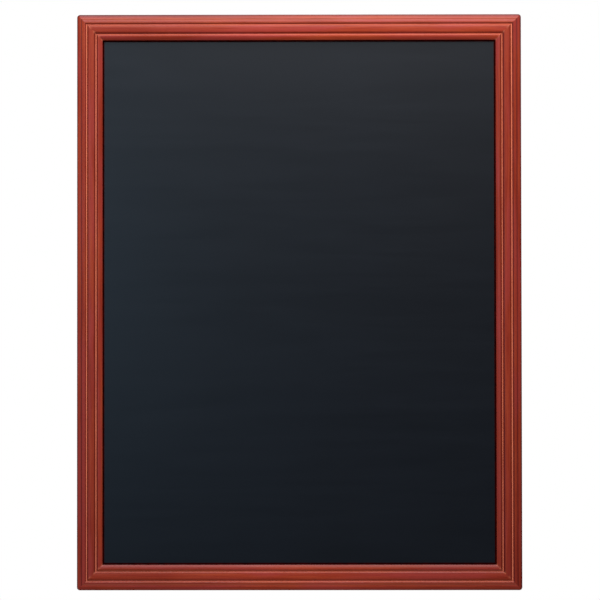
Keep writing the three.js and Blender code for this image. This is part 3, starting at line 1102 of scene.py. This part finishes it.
@dataclass(frozen=True)
class StainAndPaintedLight:
    """Where the stain, the painted shade and the painted highlights lie on the moulding's outline. Each pair is
    where a change begins and where it ends.

    The front and the rabbet's climb are measured up from the rabbet's floor, the sight back from the sight
    edge, and the others from the outer edge inwards or up from the back.
    """

    front: Pair = (0.5, 1.5)
    sight: Pair = (1.1, 0.1)
    sight_foot: float = 0.5
    edge_start: float = 0.4
    edge_foot_share: float = 0.3
    edge_climb: Pair = (8.0, 13.0)
    back: Pair = (0.3, 2.4)
    back_climb: Pair = (0.2, 0.9)
    rabbet_climb: Pair = (-0.2, 0.4)
    rabbet_margin: float = 1.0
    gathered_flatness: int = 2
    thinned_flatness: int = 4

    def streaks(self, outline: np.ndarray, streaks: Sequence[Streak], flatness: int) -> np.ndarray:
        """Adds streaks up at each point of the outline, on the front alone."""
        total = sum(streak.over(outline[:, 0], MOULDING.middles, flatness) for streak in streaks)
        return total * smooth_step(outline[:, 1], *(MOULDING.rabbet_depth + rise for rise in self.front))

    def gathered(self, outline: np.ndarray, side: Side) -> np.ndarray:
        """Gives the darkening, from 0 to 1: stain in the grooves together with painted shade in streaks,
        painted shade along the sight edge, and stain with painted shade along the outer edge.

        Args:
            outline: the (across, height) points.
            side: the side of the frame.

        Returns:
            A value for each point.
        """
        across, height = outline.T
        wiping = SIDE_STAIN_AND_LIGHT[side]
        # painted shade along the sight edge; stain with painted shade along the outer edge
        sight = smooth_step(across, *(MOULDING.width - back for back in self.sight))
        sight = sight * (height > self.sight_foot)
        foot = self.edge_foot_share
        edge = foot + (wiping.edge - foot) * smooth_step(height, *self.edge_climb)
        edge = edge * (1.0 - smooth_step(across, self.edge_start, wiping.edge_reach))
        total = self.streaks(outline, wiping.gathered, self.gathered_flatness) + wiping.sight * sight + edge
        return np.clip(total, 0.0, 1.0)

    def thinned(self, outline: np.ndarray, side: Side) -> np.ndarray:
        """Gives the painted highlights along the moulding, from 0 to 1."""
        return np.minimum(self.streaks(outline, SIDE_STAIN_AND_LIGHT[side].thinned, self.thinned_flatness), 1.0)

    def worn(self, outline: np.ndarray) -> np.ndarray:
        """Gives where the stain was rubbed thin at a mitre."""
        # Gives the painted highlights that lie along the mitres, across the moulding.
        return self.streaks(outline, HIGHLIGHTS_AT_MITRES, self.gathered_flatness)

    def bare(self, outline: np.ndarray) -> np.ndarray:
        """Gives where there is hardly any stain: the back and the rabbet, from just inside the outer edge.

        Args:
            outline: the (across, height) points.

        Returns:
            A value for each point.
        """
        across, height = outline.T
        back = smooth_step(across, *self.back) * (1.0 - smooth_step(height, *self.back_climb))
        rabbet = 1.0 - smooth_step(height, *(MOULDING.rabbet_depth + rise for rise in self.rabbet_climb))
        return np.maximum(back, rabbet * (across > MOULDING.rabbet_wall - self.rabbet_margin))


@dataclass
class WoodenFrame:
    """The four mitred sides."""

    corner_radius: float = 4.5
    joint_line: float = 0.06
    end_zone: float = 10.0
    straight_steps: int = 84
    end_steps: int = 16
    shade_zone: Pair = (30.0, 250.0)
    worn_reach: float = 1.8

    def end(self, across: np.ndarray, share: np.ndarray, length: float) -> tuple[np.ndarray, np.ndarray]:
        """Follows the lines that run at a distance inside a rounded corner, up to the mitre.

        A line at distance w inside the outer edge runs straight to the corner's round of radius r, then on an
        arc of radius r - w to the mitre's diagonal. Where w is past r it runs straight to the diagonal.

        Args:
            across: each line's distance w from the outer edge.
            share: how far through the end zone each station is, from 0 to 1.
            length: the side's own length.

        Returns:
            The x and the distance from the outer edge, both of stations by lines.
        """
        radius = np.maximum(self.corner_radius - across, 0.0)[None, :]
        start = length / 2 - np.maximum(across, self.corner_radius)[None, :]
        going = share[:, None] * (self.end_zone + radius * np.pi / 4)
        angle = np.clip(going - self.end_zone, 0.0, None) / np.maximum(radius, TINY) * (radius > 0.0)
        x = start - self.end_zone + np.minimum(going, self.end_zone) + radius * np.sin(angle)
        return x, across[None, :] + radius * (1.0 - np.cos(angle))

    def rings(self, outline: np.ndarray, side: Side) -> np.ndarray:
        """Carries the moulding's outline along one side, as it would lie along the top.

        Args:
            outline: the (across, height) points.
            side: the side.

        Returns:
            The rings, from the left mitre to the right one.
        """
        across, height = outline.T
        x, inwards = self.end(across, np.linspace(0.0, 1.0, self.end_steps + 1), side.length)
        x = x - self.joint_line
        t = np.linspace(-1.0, 1.0, self.straight_steps + 1)[1:-1, None]
        x = np.vstack([-x[::-1], t * x[:1], x])
        inwards = np.vstack([inwards[::-1], np.repeat(inwards[:1], len(t), axis=0), inwards])
        return np.stack([x, -height + 0.0 * x, side.reach - inwards], axis=-1)

    def build(self) -> None:
        """Makes the four sides."""
        outline, stain_and_light = MOULDING.outline(), StainAndPaintedLight()
        woods = {grain: WOOD.material(grain) for grain in Grain}
        for side in Side:
            rings = self.rings(outline, side)
            x, inwards = rings[..., 0], side.reach - rings[..., 2]
            # painted shade towards the side's two ends
            ends = sum(share * smooth_step(way * x, *self.shade_zone)
                       for way, share in zip((-1.0, 1.0), SIDE_STAIN_AND_LIGHT[side].shade))
            to_mitre = side.length / 2 - inwards - np.abs(x)
            # painted highlights along the mitres, fading away from them
            worn = stain_and_light.worn(outline) * np.exp(-(to_mitre / self.worn_reach) ** 2)
            # the stain attribute holds stain with painted shade, the next one painted highlights
            piece = Skin(side.turn(rings)).build(
                f"{side.node}_moulding",
                stain=np.minimum(stain_and_light.gathered(outline, side) + ends, 1.0),
                painted_highlight=np.minimum(stain_and_light.thinned(outline, side) + worn, 1.0),
                bare=np.broadcast_to(stain_and_light.bare(outline), x.shape),
            )
            dress(piece, "frame", woods[side.grain], WOOD.slot, side.node)


@dataclass
class CornerNails:
    """The V nails across the mitres: each a steel strip bent square, driven in from the back."""

    insets: Pair = (12.0, 26.0)
    leg: float = 7.0
    thickness: float = 0.8
    depth: float = 8.0
    proud: float = 0.04
    bend: float = 0.9
    hollow: float = 0.25
    edge: float = 0.08

    def outline(self) -> np.ndarray:
        """Gives the strip's plan from its inner corner: two square legs joined by round bends.

        Returns:
            The closed outline, one point a row.
        """
        wall, leg, inner = self.thickness, self.leg, self.thickness + self.hollow
        outer = arc((self.bend, self.bend), (self.bend, self.bend), (180.0, 270.0), steps=8)
        hollow = arc((inner, inner), (self.hollow, self.hollow), (270.0, 180.0), steps=6)
        return np.vstack([outer, (leg, 0.0), (leg, wall), hollow, (wall, leg), (0.0, leg)])

    def build(self) -> None:
        """Makes the eight nails, two at each corner, clockwise from the top right."""
        steel = SPRING.material()
        corner = np.array([BOARD_WIDTH, BOARD_HEIGHT]) / 2
        ways = {"top_right": (1, 1), "bottom_right": (1, -1), "bottom_left": (-1, -1), "top_left": (-1, 1)}
        for label, way in ways.items():
            for place, distance in zip(("outer", "inner"), self.insets):
                plan = (self.outline() - distance + corner) * np.array(way)
                piece = plate(plan, -self.depth, self.proud, self.edge).build(f"corner_nail_{label}_{place}")
                dress(piece, "frame", steel, SPRING.slot, f"v_nail_{label}_{place}")


@dataclass
class FramersPoints:
    """The flat steel tabs in the rabbet wall that hold the panel against the lip."""

    width: float = 6.0
    thickness: float = 0.8
    reach: float = 7.0
    bite: float = 7.0
    tip: float = 3.0
    front: float = -8.4
    edge: float = 0.12
    heel_round: float = 0.9
    rail_count: int = 3
    stile_count: int = 4

    def outline(self) -> np.ndarray:
        """Gives the tab's plan: a round-cornered heel over the panel and a tip in the wood.

        Returns:
            The closed outline, one point a row.
        """
        half, corner = self.width / 2, (self.heel_round, self.heel_round)
        heel = self.heel_round - self.reach
        left = arc((self.heel_round - half, heel), corner, (180.0, 270.0), steps=6)
        right = arc((half - self.heel_round, heel), corner, (270.0, 360.0), steps=6)
        shoulder = self.bite - self.tip
        return np.vstack([left, right, (half, shoulder), (0.0, self.bite), (-half, shoulder)])

    def build(self) -> None:
        """Makes the points, evenly spread along each side: places are L ((i + 1/2) / n - 1/2)."""
        steel = SPRING.material()
        for side in Side:
            count = self.rail_count if side.level else self.stile_count
            places = (side.length - 2 * MOULDING.width) * ((np.arange(count) + 0.5) / count - 0.5)
            for number, place in enumerate(places, start=1):
                plan = self.outline() + np.array([place, side.reach - MOULDING.rabbet_wall])
                skin = plate(plan, self.front, self.front + self.thickness, self.edge)
                skin.rings = side.turn(skin.rings)
                label = f"{side.name.lower()}_{number}"
                dress(skin.build(f"panel_point_{label}"), "frame", steel, SPRING.slot, f"framer_point_{label}")


@dataclass
class Panel:
    """The black writing sheet and the hardboard behind it, both kept as packed and given their finishes."""

    face: float = -12.3
    line_width: float = 2.6
    line_cover: float = 1.5
    line_thickness: float = 0.05
    line_edge: float = 0.01

    def line(self, side: Side) -> Skin:
        """Lays one side of the painted shadow line: a mitred strip from under the lip to its own width inside
        it.

        Args:
            side: the side of the frame.

        Returns:
            The strip.
        """
        half, height = side.length / 2 - MOULDING.width, side.reach - MOULDING.width
        inner, outer = -self.line_width, self.line_cover
        plan = np.array([(-half - outer, height + outer), (half + outer, height + outer),
                         (half + inner, height + inner), (-half - inner, height + inner)])
        skin = plate(plan, self.face - self.line_thickness, self.face, self.line_edge)
        skin.rings = side.turn(skin.rings)
        return skin

    def build(self) -> None:
        """Dresses the two sheets and lays the painted shadow line round the facing, along the lip."""
        for name, material in (("writing_sheet", FACING.material()), ("backing_panel", BOARD.material())):
            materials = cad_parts[name].data.materials
            materials.clear()
            materials.append(material)
            log.info("%s: dressed", name)
        # a painted shadow strip on the facing along the lip
        shadow_line_finish = SHADOW_LINE.material()
        for side in Side:
            dress(self.line(side).build(f"seeped_line_{side.name.lower()}"), "frame", shadow_line_finish, SHADOW_LINE.slot)


@dataclass(frozen=True)
class PanScrew:
    """A pan-head wood screw with a cross in its head, its axis along Y and its head towards the wall.

    The flat and the rim are the shares of the head's radius and height where its dome ends and begins. The
    cross has a half width, a half length and, for each, where its walls begin and end about that.
    """

    head_radius: float = 3.0
    head_height: float = 1.9
    head_flat: float = 0.35
    head_rim: float = 0.3
    head_seat_round: float = 0.15
    shank_radius: float = 1.6
    length: float = 13.0
    tip_length: float = 3.0
    axis_gap: float = 0.02
    head_rings: int = 46
    around: int = 96
    cross_depth: float = 1.1
    cross_least_depth: float = 0.2
    cross_taper: float = 0.45
    cross_half_width: float = 0.42
    cross_half_length: float = 1.55
    side_walls: Pair = (-0.12, 0.12)
    end_walls: Pair = (-0.35, 0.05)

    def skin(self, centre: np.ndarray, turn: float) -> Skin:
        """Turns a pan head and shank, and presses a cross into the head.

        The head's top is flat in the middle and follows a quarter oval to its rim. The cross lowers each point
        by the depth times the larger of two smooth boxes, one along each axis, and is shallower outwards.

        Args:
            centre: the middle of the head's seat.
            turn: the cross's angle about the axis, in radians.

        Returns:
            The screw.
        """
        head, height, gap, seat = self.head_radius, self.head_height, self.axis_gap, self.head_seat_round
        dome = arc((self.head_flat * head, self.head_rim * height),
                   ((1.0 - self.head_flat) * head, (1.0 - self.head_rim) * height), (0.0, 90.0), steps=14)
        dense = spread_evenly(np.vstack([dome, (gap, height)]), self.head_rings)
        stem = np.array([(gap, -self.length), (self.shank_radius, self.tip_length - self.length),
                         (self.shank_radius, 0.0), (head - seat, 0.0), (head, seat)])
        skin = turned(np.vstack([stem, dense]), centre, self.around)
        top = skin.rings[len(stem):]
        x, z = (top[..., axis] - centre[axis] for axis in (0, 2))
        u, v = x * np.cos(turn) + z * np.sin(turn), z * np.cos(turn) - x * np.sin(turn)
        side = [self.cross_half_width + wall for wall in self.side_walls]
        end = [self.cross_half_length + wall for wall in self.end_walls]
        arms = [(1.0 - smooth_step(np.abs(a), *side)) * (1.0 - smooth_step(np.abs(b), *end))
                for a, b in ((u, v), (v, u))]
        depth = self.cross_depth * (1.0 - self.cross_taper * np.hypot(u, v) / self.cross_half_length)
        top[..., 1] -= np.maximum(*arms) * np.maximum(depth, self.cross_least_depth)
        return skin


@dataclass
class Hanger:
    """A strap on a stile's back, rolled into an eye, with a D ring that swings in it and two screws.

    The screws' crosses stand at angles in degrees: a first one, changed by each millimetre of their drop.
    """

    hand: Hand
    centre: tuple[float, float, float] = (329.5, 0.0, 225.0)
    strap_width: float = 12.0
    strap_thickness: float = 1.195
    strap_foot_angle: float = 0.04
    strap_flat_steps: int = 60
    strap_around: int = 40
    strap_corner: float = 0.25
    strap_least_half: float = 0.1
    eye_axis: float = 2.55
    eye_radius: float = 1.35
    close_angle: float = 205.0
    wire_radius: float = 1.095
    ring_drop: float = 18.0
    ring_play: float = 3.5
    ring_corner: float = 3.0
    ring_points: int = 220
    bow_depth: float = 8.0
    butt_gap: float = 0.3
    screw: PanScrew = PanScrew()
    screw_drops: Pair = (6.7, 24.0)
    screw_seat: float = 1.25
    screw_angle: float = 28.0
    screw_angle_change: float = 11.0

    @property
    def place(self) -> np.ndarray:
        """Gives the hanger's own zero: on the back plane, level with the eye."""
        return np.array(self.centre) * np.array([self.hand.value, 1.0, 1.0])

    def strap(self) -> Skin:
        """Carries a strip's section along its side view: flat on the wood, then round the eye.

        At each point the section is an oval-cornered rectangle of half width h and half thickness k:
        (h, k) times sign(cos t) |cos t|^(1/4) and the same of sin t. Near the lower end e, where the flat's
        points are closer, at e cos t, the half width follows the plan's round: the square root of r^2 - d^2.

        Returns:
            The strap.
        """
        half, k, steps = self.strap_width / 2, self.strap_thickness / 2, self.strap_flat_steps
        middle = self.eye_radius + k
        end = -(self.screw_drops[1] + half)
        flat = end * np.cos(np.linspace(self.strap_foot_angle, np.pi / 2, steps))
        roll = arc((0.0, self.eye_axis), (middle, middle), (-90.0, self.close_angle), steps=56)
        path = np.vstack([np.column_stack([flat, np.full(steps, k)]), roll[1:]])
        past = np.clip(end + half - path[:, 0], 0.0, half) * (np.arange(len(path)) < steps)
        widths = np.sqrt(np.maximum(half ** 2 - past ** 2, self.strap_least_half ** 2))
        t = full_turn(self.strap_around) + np.pi / self.strap_around
        wide, thick = (np.sign(wave) * np.abs(wave) ** self.strap_corner for wave in (np.cos(t), np.sin(t)))
        rise = path[:, None, :] + square_to(path)[:, None, :] * (k * thick)[None, :, None]
        rings = np.stack([widths[:, None] * wide[None, :], rise[..., 1], rise[..., 0]], axis=-1)
        return Skin(rings + self.place)

    def ring(self) -> Skin:
        """Bends the wire: a straight bar, round corners and a half-oval bow, the ends meeting in the eye.

        Returns:
            The ring.
        """
        half = self.strap_width / 2 + self.ring_play + self.wire_radius
        bar = half - self.ring_corner
        low = self.bow_depth - self.ring_drop - self.wire_radius
        corner = (self.ring_corner, self.ring_corner)
        bend = np.vstack([
            (self.butt_gap / 2, 0.0),
            arc((bar, -self.ring_corner), corner, (90.0, 0.0), steps=16),
            arc((0.0, low), (half, self.bow_depth), (0.0, -180.0), steps=64),
            arc((-bar, -self.ring_corner), corner, (180.0, 90.0), steps=16),
            (-self.butt_gap / 2, 0.0),
        ])
        path = spread_evenly(bend, self.ring_points) + self.place[[0, 2]]
        return wire(path, self.eye_axis, self.wire_radius, around=24)

    def build(self, zinc: bpy.types.Material) -> None:
        """Makes the strap, the ring and the screws of this hand.

        Args:
            zinc: the finish of all its pieces.
        """
        label = self.hand.label
        dress(self.strap().build(f"rolled_strap_{label}"), "frame", zinc, ZINC.slot, f"hanger_strap_{label}")
        dress(self.ring().build(f"d_ring_{label}"), f"ring_{label}", zinc, ZINC.slot, f"hanger_ring_{label}")
        for number, drop in enumerate(self.screw_drops, start=1):
            turn = np.radians(self.screw_angle + self.screw_angle_change * drop * self.hand.value)
            skin = self.screw.skin(self.place + np.array([0.0, self.screw_seat, -drop]), turn)
            piece = skin.build(f"pan_screw_{label}_{number}")
            dress(piece, "frame", zinc, ZINC.slot, f"hanger_screw_{label}_{number}")


@dataclass
class WallBumper:
    """A rubber pad that keeps the board's foot off the wall."""

    hand: Hand
    inset: float = 18.0
    lift: float = 60.0
    height: float = 5.0
    base_radius: float = 6.5
    base_round: float = 0.3
    flange_width: float = 0.7
    flange_height: float = 0.75
    face_radius: float = 5.2
    face_round: float = 0.8
    dimple_radius: float = 1.9
    dimple_depth: float = 0.5
    dimple_wall: float = 0.25
    dimple_lip: float = 0.3
    axis_gap: float = 0.05

    def build(self, rubber: bpy.types.Material) -> None:
        """Turns the pad: a thin flange, a tapered wall, a round edge and a dimple in its face.

        Args:
            rubber: the pad's finish.
        """
        base, face, floor = self.base_round, self.face_round, self.height - self.dimple_depth
        profile = np.vstack([
            (self.axis_gap, 0.0),
            arc((self.base_radius - base, base), (base, base), (-90.0, 60.0), steps=8),
            (self.base_radius - self.flange_width, self.flange_height),
            arc((self.face_radius - face, self.height - face), (face, face), (0.0, 90.0), steps=8),
            (self.dimple_radius + self.dimple_lip, self.height),
            arc((self.dimple_radius, floor), (self.dimple_wall, self.dimple_depth), (90.0, 180.0), steps=6),
            (self.axis_gap, floor),
        ])
        x = (BOARD_WIDTH / 2 - self.inset) * self.hand.value
        skin = turned(profile, (x, 0.0, self.lift - BOARD_HEIGHT / 2), around=64)
        label = self.hand.label
        dress(skin.build(f"rubber_bumper_{label}"), "frame", rubber, RUBBER.slot, f"wall_bumper_{label}")


@dataclass(frozen=True)
class Lamp:
    """A soft lamp with a flat oblong face, in metres and watts."""

    name: str
    place: tuple[float, float, float]
    face: Pair
    power: float
    colour: Colour = (1.0, 1.0, 1.0)


LAMPS = (
    Lamp("overhead_key", (0.05, -1.3, 1.95), (1.8, 1.4), 69.0),
    Lamp("left_cool", (-1.3, -2.2, 0.2), (0.8, 0.8), 9.0, (0.40, 0.72, 1.0)),
)


@dataclass
class Studio:
    """The camera, the lamps, the plain floor and the white surround, in metres and degrees.

    The surround's strength changes from its front to its back value between two depths, -1 being straight
    ahead of the board and 1 straight behind it.
    """

    camera_place: tuple[float, float, float] = (0.0173, -3.2, -0.0424)
    camera_tilt: float = 90.814
    camera_roll: float = 0.065
    camera_turn: float = 0.290
    lens: float = 122.29
    sensor: float = 36.0
    front_fill: float = 0.40
    back_fill: float = 1.0
    fill_depths: Pair = (0.5, 1.0)
    front_gloss: float = 0.03
    back_gloss: float = 0.75
    gloss_depths: Pair = (0.8, 1.0)
    floor_level: float = -0.70
    floor_centre: float = 0.1
    floor_radius: float = 1.6
    floor_rings: int = 20
    floor_around: int = 72

    def camera(self) -> None:
        """Sets the camera before the written face, tilted up and turned by less than a degree."""
        lens = bpy.data.cameras.new("front_view")
        lens.lens = self.lens
        lens.sensor_width = self.sensor
        camera = put("front_view", lens)
        camera.location = self.camera_place
        camera.rotation_euler = np.radians((self.camera_tilt, self.camera_roll, self.camera_turn))
        bpy.context.scene.camera = camera

    def lamp(self, lamp: Lamp) -> None:
        """Sets a soft lamp that looks at the board's middle.

        Args:
            lamp: its place, face, power and colour.
        """
        light = bpy.data.lights.new(lamp.name, "AREA")
        light.shape = "RECTANGLE"
        light.size, light.size_y = lamp.face
        light.energy = lamp.power
        light.color = lamp.colour
        stand = put(lamp.name, light)
        stand.location = lamp.place
        stand.rotation_euler = (-Vector(lamp.place)).to_track_quat("-Z", "Y").to_euler()

    def surround(self) -> None:
        """Makes the world: white to the camera, a plain fill, and for reflections a dim room in front."""
        world = bpy.data.worlds.new("studio")
        world.use_nodes = True
        bpy.context.scene.world = world
        made = Graph(world.node_tree)
        _, depth, _ = made.split(made.add("TexCoord").outputs["Generated"])
        rays = made.add("LightPath").outputs
        gloss = made.span(depth, *self.gloss_depths, self.front_gloss, self.back_gloss)
        fill = made.span(depth, *self.fill_depths, self.front_fill, self.back_fill)
        level = made.maths("MULTIPLY_ADD", rays["Is Glossy Ray"], made.maths("SUBTRACT", gloss, fill), fill)
        seen = made.maths("MAXIMUM", rays["Is Camera Ray"], rays["Is Transmission Ray"])
        strength = made.maths("ADD", level, made.maths("MULTIPLY", seen, made.maths("SUBTRACT", 1.0, level)))
        background = made.add("Background", Color=(1.0, 1.0, 1.0), Strength=strength)
        made.add("OutputWorld", Surface=background.outputs[0])

    def floor(self) -> None:
        """Lays a round floor: rings of radius R t, t running from nearly zero to 1, round a small middle."""
        radius = self.floor_radius * np.linspace(1.0 / self.floor_rings, 1.0, self.floor_rings)[:, None]
        t = full_turn(self.floor_around)
        points = np.stack([radius * np.cos(t), self.floor_centre + radius * np.sin(t),
                           self.floor_level + 0.0 * radius * t], axis=-1)
        quads = quads_between(self.floor_rings, self.floor_around)[:, ::-1].tolist()
        mesh = bpy.data.meshes.new("floor")
        mesh.from_pydata(points.reshape(-1, 3).tolist(), [], [*quads, list(range(self.floor_around))])
        mesh.update()
        mesh.materials.append(FLOOR.material(self.floor_centre))
        put("floor", mesh)

    def build(self) -> None:
        """Sets everything up."""
        self.camera()
        for lamp in LAMPS:
            self.lamp(lamp)
        self.surround()
        self.floor()
        bpy.context.scene.view_settings.view_transform = "Standard"


def main() -> None:
    """Builds the board's looks in order."""
    logging.basicConfig(level=logging.INFO, format="%(name)s %(message)s")
    Studio().build()
    WoodenFrame().build()
    CornerNails().build()
    FramersPoints().build()
    Panel().build()
    zinc, rubber = ZINC.material(), RUBBER.material()
    for hand in Hand:
        Hanger(hand).build(zinc)
        WallBumper(hand).build(rubber)


if __name__ == "__main__":
    main()
